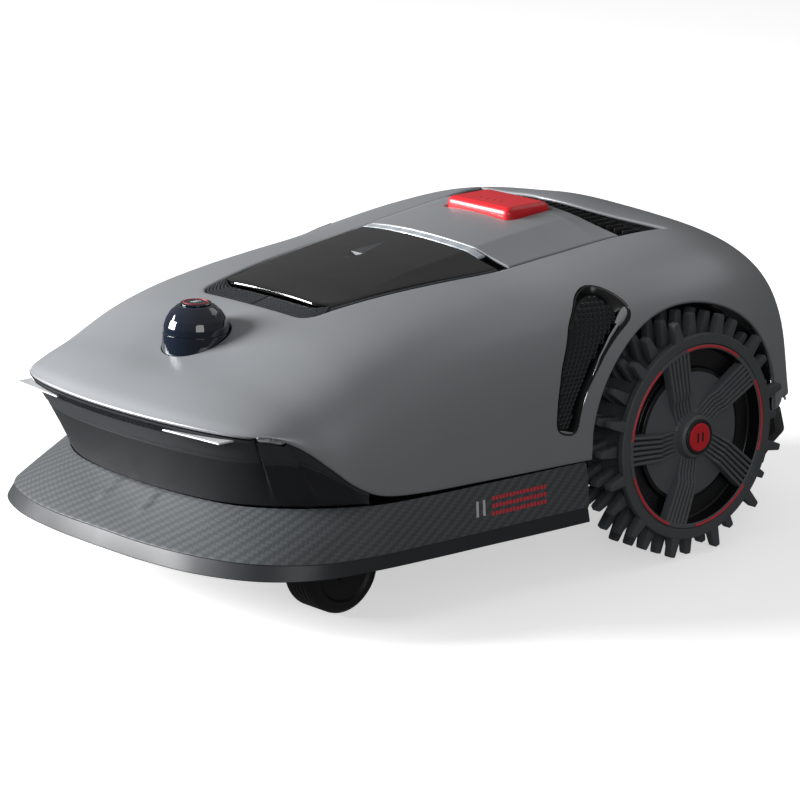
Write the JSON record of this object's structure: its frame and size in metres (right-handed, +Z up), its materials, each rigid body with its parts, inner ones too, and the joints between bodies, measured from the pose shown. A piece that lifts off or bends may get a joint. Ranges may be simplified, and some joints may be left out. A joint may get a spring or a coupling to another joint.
{
  "type": "robotic lawn mower",
  "caption": "Low robotic lawn mower with sculpted hood, scanning sensor dome, hinged control lid, stop button, lugged rear drive wheels, front casters and a height-adjustable blade disc.",
  "frame": {"origin": "on the ground under the middle of the machine's overall length and width", "axes": "+Z up, -Y is the driving direction, +X is the mower's left side"},
  "size_m": [0.428, 0.638, 0.2635],
  "materials": {
    "silver_cover": "satin metallic paint",
    "dark_plastic": "fine grain",
    "carbon_look": "twill film under clear coat",
    "black_plastic": "moulded",
    "gloss_black": "high gloss",
    "light_strip": "translucent",
    "button_grey": "soft touch",
    "red_plastic": "satin",
    "tyre_rubber": "moulded",
    "wheel_plastic": "satin",
    "caster_tread": "smooth",
    "steel": "brushed",
    "board_green": "solder resist"
  },
  "bodies": {
    "base": {"top_cover": "silver_cover", "nose_bumper": "dark_plastic", "skirt": "carbon_look", "rear_bumper": "dark_plastic", "front_chassis": "black_plastic", "deck_housing": "black_plastic", "rear_chassis": "black_plastic", "grille_trim": "black_plastic", "status_light_strip": "light_strip", "centre_panel": "silver_cover", "rear_vent_grille": "black_plastic", "control_panel": "dark_plastic", "display_screen": "gloss_black", "lidar_base": "gloss_black", "lidar_dome": "gloss_black", "lidar_cap": "dark_plastic", "battery_pack": "dark_plastic", "main_board": "board_green", "cut_height_guide": "dark_plastic", "side_vent_bezel_left": "gloss_black", "side_vent_bezel_right": "gloss_black", "side_vent_mesh_left": "black_plastic", "side_vent_mesh_right": "black_plastic", "charging_contact_left": "steel", "charging_contact_right": "steel", "wheel_liner_left": "black_plastic", "wheel_liner_right": "black_plastic", "gear_motor_left": "steel", "gear_motor_right": "steel"},
    "lid": {"canopy_lid": "gloss_black"},
    "stop_button": {"stop_button": "red_plastic"},
    "power_button": {"power_button": "button_grey"},
    "home_button": {"home_button": "button_grey"},
    "start_button": {"start_button": "button_grey"},
    "ok_button": {"ok_button": "button_grey"},
    "lidar_rotor": {"lidar_rotor": "dark_plastic"},
    "cutting_motor": {"cutting_motor": "steel"},
    "cutting_disc": {"cutting_disc": "steel"},
    "blade_1": {"blade_1": "steel"},
    "blade_2": {"blade_2": "steel"},
    "blade_3": {"blade_3": "steel"},
    "drive_wheel_left": {"tyre_left": "tyre_rubber", "wheel_rim_left": "wheel_plastic", "hub_cap_left": "red_plastic"},
    "caster_left": {"caster_fork_left": "black_plastic"},
    "caster_wheel_left": {"caster_wheel_left": "caster_tread"},
    "drive_wheel_right": {"tyre_right": "tyre_rubber", "wheel_rim_right": "wheel_plastic", "hub_cap_right": "red_plastic"},
    "caster_right": {"caster_fork_right": "black_plastic"},
    "caster_wheel_right": {"caster_wheel_right": "caster_tread"}
  },
  "joints": [
    {"name": "lid_hinge", "type": "hinge", "parent": "base", "child": "lid", "pos_m": [0, -0.1485, 0.217], "axis": [1, 0, 0], "range_deg": [0, 70]},
    {"name": "stop_press", "type": "slide", "parent": "base", "child": "stop_button", "axis": [0, 0, -1], "range_m": [0, 0.004], "stiffness_N_per_m": 1500, "springref_m": -0.002},
    {"name": "power_press", "type": "slide", "parent": "base", "child": "power_button", "axis": [0, 0, -1], "range_m": [0, 0.0015], "stiffness_N_per_m": 400, "springref_m": -0.0005},
    {"name": "home_press", "type": "slide", "parent": "base", "child": "home_button", "axis": [0, 0, -1], "range_m": [0, 0.0015], "stiffness_N_per_m": 400, "springref_m": -0.0005},
    {"name": "start_press", "type": "slide", "parent": "base", "child": "start_button", "axis": [0, 0, -1], "range_m": [0, 0.0015], "stiffness_N_per_m": 400, "springref_m": -0.0005},
    {"name": "ok_press", "type": "slide", "parent": "base", "child": "ok_button", "axis": [0, 0, -1], "range_m": [0, 0.0015], "stiffness_N_per_m": 400, "springref_m": -0.0005},
    {"name": "lidar_spin", "type": "hinge", "parent": "base", "child": "lidar_rotor", "pos_m": [0, -0.216, 0.2], "axis": [0, 0, 1], "continuous": true},
    {"name": "cut_height", "type": "slide", "parent": "base", "child": "cutting_motor", "axis": [0, 0, 1], "range_m": [-0.02, 0.02]},
    {"name": "disc_spin", "type": "hinge", "parent": "cutting_motor", "child": "cutting_disc", "pos_m": [0, -0.015, 0.048], "axis": [0, 0, 1], "continuous": true},
    {"name": "blade_swivel_1", "type": "hinge", "parent": "cutting_disc", "child": "blade_1", "pos_m": [0, 0.065, 0.0435], "axis": [0, 0, 1], "continuous": true},
    {"name": "blade_swivel_2", "type": "hinge", "parent": "cutting_disc", "child": "blade_2", "pos_m": [-0.06928, -0.055, 0.0435], "axis": [0, 0, 1], "continuous": true},
    {"name": "blade_swivel_3", "type": "hinge", "parent": "cutting_disc", "child": "blade_3", "pos_m": [0.06928, -0.055, 0.0435], "axis": [0, 0, 1], "continuous": true},
    {"name": "drive_wheel_left_spin", "type": "hinge", "parent": "base", "child": "drive_wheel_left", "pos_m": [0.187, 0.123, 0.099], "axis": [1, 0, 0], "continuous": true},
    {"name": "caster_left_swivel", "type": "hinge", "parent": "base", "child": "caster_left", "pos_m": [0.124, -0.208, 0.08], "axis": [0, 0, 1], "continuous": true},
    {"name": "caster_left_roll", "type": "hinge", "parent": "caster_left", "child": "caster_wheel_left", "pos_m": [0.124, -0.186, 0.035], "axis": [1, 0, 0], "continuous": true},
    {"name": "drive_wheel_right_spin", "type": "hinge", "parent": "base", "child": "drive_wheel_right", "pos_m": [-0.187, 0.123, 0.099], "axis": [1, 0, 0], "continuous": true},
    {"name": "caster_right_swivel", "type": "hinge", "parent": "base", "child": "caster_right", "pos_m": [-0.124, -0.208, 0.08], "axis": [0, 0, 1], "continuous": true},
    {"name": "caster_right_roll", "type": "hinge", "parent": "caster_right", "child": "caster_wheel_right", "pos_m": [-0.124, -0.186, 0.035], "axis": [1, 0, 0], "continuous": true}
  ]
}
